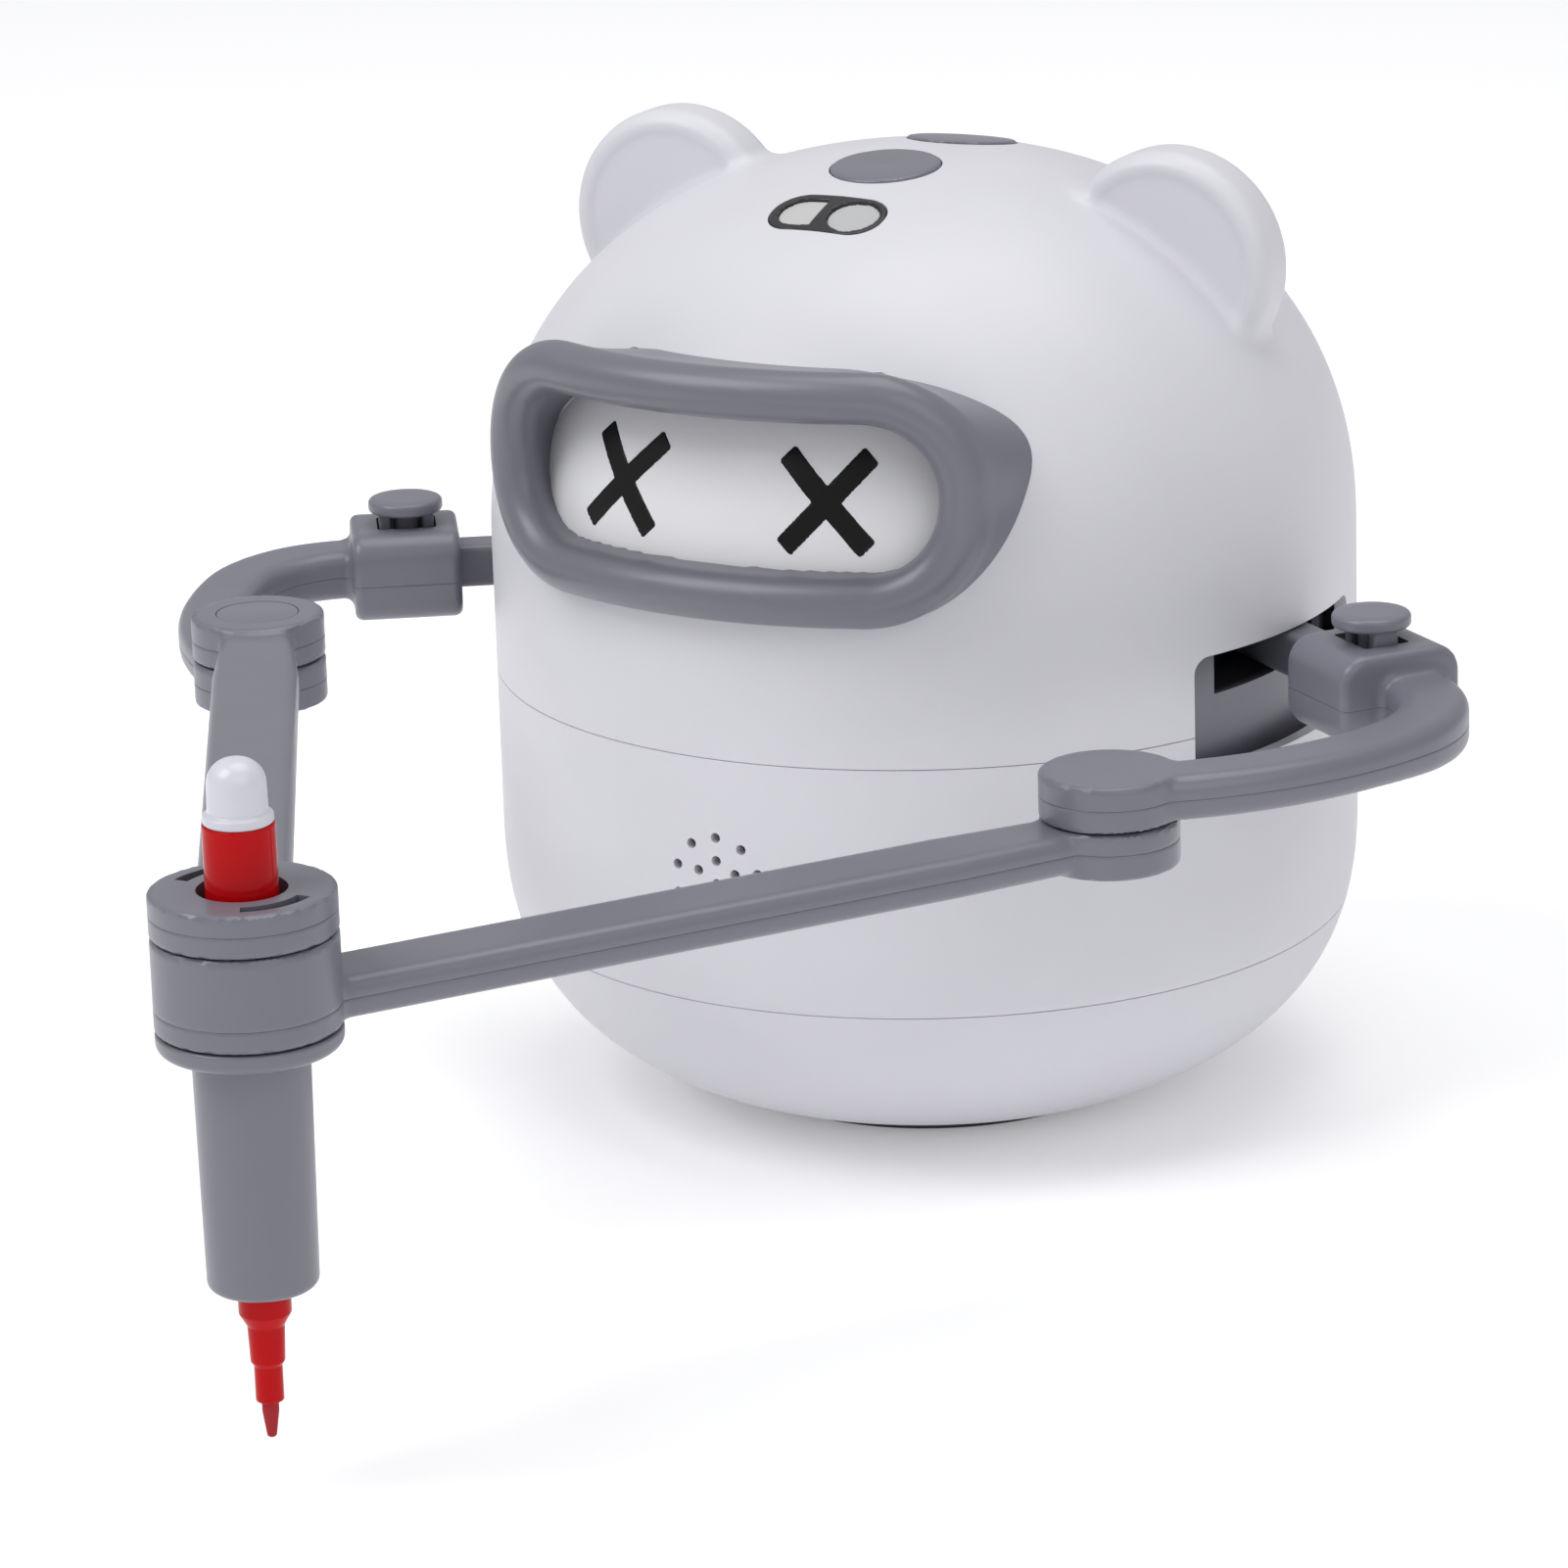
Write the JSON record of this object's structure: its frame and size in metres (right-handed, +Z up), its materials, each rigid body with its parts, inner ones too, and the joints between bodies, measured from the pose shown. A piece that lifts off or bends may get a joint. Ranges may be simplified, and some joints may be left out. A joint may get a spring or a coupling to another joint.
{
  "type": "desktop drawing robot",
  "caption": "Desktop drawing robot: bear-eared barrel body with goggle face, two jointed arms forming a five-bar linkage that holds a marker.",
  "frame": {"origin": "centre of the base pad's underside, on the body's axis, on the table", "axes": "+Z up; the robot faces -Y and its arms reach out that way; its own left hand is towards +X"},
  "size_m": [0.2548, 0.3245, 0.1806],
  "materials": {
    "white_plastic": "satin",
    "grey_plastic": "satin",
    "black_plastic": "satin",
    "face_plastic": "matte",
    "eye_print": "gloss",
    "red_plastic": "gloss",
    "plug_plastic": "satin",
    "ink_fibre": "matte",
    "rubber": "matte",
    "steel": "satin",
    "clear_lens": "gloss",
    "diffuser": "satin",
    "circuit_board": "satin",
    "battery_wrap": "gloss",
    "motor_case": "satin",
    "gear_plastic": "satin"
  },
  "bodies": {
    "root": {"base_pad": "rubber", "base_shell": "white_plastic", "base_screws": "steel", "body_shell": "white_plastic", "head_shell": "white_plastic", "goggle_frame": "grey_plastic", "face_plate": "face_plastic", "eye_marks": "eye_print", "button_board": "circuit_board", "scanner_bezel": "black_plastic", "scanner_lens": "clear_lens", "scanner_lamp_window": "diffuser", "scanner_board": "circuit_board", "speaker": "black_plastic", "speaker_bracket": "black_plastic", "chassis_deck": "black_plastic", "battery_pack": "battery_wrap", "main_board": "circuit_board", "charging_socket": "steel", "guide_rods": "steel", "rod_bracket": "black_plastic", "lift_motor": "motor_case"},
    "front_button": {"front_button": "grey_plastic"},
    "rear_button": {"rear_button": "grey_plastic"},
    "power_switch": {"power_switch": "black_plastic"},
    "lift_pinion": {"lift_pinion": "gear_plastic"},
    "carriage": {"carriage_frame": "grey_plastic", "left_shoulder_motor": "motor_case", "right_shoulder_motor": "motor_case", "left_shield": "grey_plastic", "right_shield": "grey_plastic"},
    "left_arm": {"left_stub": "grey_plastic", "left_arm_top": "grey_plastic", "left_arm_bottom": "grey_plastic", "left_elbow_pin": "steel", "left_elbow_cap": "grey_plastic"},
    "right_arm": {"right_stub": "grey_plastic", "right_arm_top": "grey_plastic", "right_arm_bottom": "grey_plastic", "right_elbow_pin": "steel", "right_elbow_cap": "grey_plastic"},
    "left_release": {"left_release_button": "grey_plastic"},
    "right_release": {"right_release_button": "grey_plastic"},
    "left_link": {"left_link_top": "grey_plastic", "left_link_bottom": "grey_plastic"},
    "right_link": {"right_link_top": "grey_plastic", "right_link_bottom": "grey_plastic", "holder_tube": "grey_plastic"},
    "marker": {"marker_barrel": "red_plastic", "marker_plug": "plug_plastic", "marker_reservoir": "ink_fibre", "marker_nib": "ink_fibre"}
  },
  "joints": [
    {"name": "lift", "type": "slide", "parent": "root", "child": "carriage", "axis": [0, 0, 1], "range_m": [-0.009, 0]},
    {"name": "lift_pinion_turn", "type": "hinge", "parent": "root", "child": "lift_pinion", "pos_m": [0.001, 0.019, 0.054], "axis": [0, 1, 0], "range_deg": [-0.2, 64.7]},
    {"name": "left_shoulder", "type": "hinge", "parent": "carriage", "child": "left_arm", "pos_m": [0.04, 0.0212, 0.0916], "axis": [0, 0, 1], "range_deg": [-15, 20]},
    {"name": "right_shoulder", "type": "hinge", "parent": "carriage", "child": "right_arm", "pos_m": [-0.04, 0.0212, 0.0916], "axis": [0, 0, 1], "range_deg": [-20, 15]},
    {"name": "left_elbow", "type": "hinge", "parent": "left_arm", "child": "left_link", "pos_m": [0.0859, -0.0944, 0.0836], "axis": [0, 0, 1], "range_deg": [-37.5, 28.1]},
    {"name": "right_elbow", "type": "hinge", "parent": "right_arm", "child": "right_link", "pos_m": [-0.0859, -0.0944, 0.0996], "axis": [0, 0, 1], "range_deg": [-28.1, 37.5]},
    {"name": "marker_slide", "type": "slide", "parent": "right_link", "child": "marker", "axis": [0, 0, 1], "range_m": [0, 0.06]},
    {"name": "left_release_press", "type": "slide", "parent": "left_arm", "child": "left_release", "axis": [0, 0, -1], "range_m": [0, 0.002], "stiffness_N_per_m": 300, "springref_m": -0.001},
    {"name": "right_release_press", "type": "slide", "parent": "right_arm", "child": "right_release", "axis": [0, 0, -1], "range_m": [0, 0.002], "stiffness_N_per_m": 300, "springref_m": -0.001},
    {"name": "front_button_press", "type": "slide", "parent": "root", "child": "front_button", "axis": [0, 0, -1], "range_m": [0, 0.0012], "stiffness_N_per_m": 500, "springref_m": -0.0008},
    {"name": "rear_button_press", "type": "slide", "parent": "root", "child": "rear_button", "axis": [0, 0, -1], "range_m": [0, 0.0012], "stiffness_N_per_m": 500, "springref_m": -0.0008},
    {"name": "power_switch_slide", "type": "slide", "parent": "root", "child": "power_switch", "axis": [1, 0, 0], "range_m": [0, 0.004]}
  ],
  "couplings": [
    {"joint": "lift_pinion_turn", "follows": "lift", "rad_per_m": -125},
    {"joint": "right_shoulder", "follows": "left_shoulder", "ratio": -1},
    {"joint": "left_elbow", "follows": "left_shoulder", "ratio": -1.863},
    {"joint": "right_elbow", "follows": "left_shoulder", "ratio": 1.863}
  ]
}
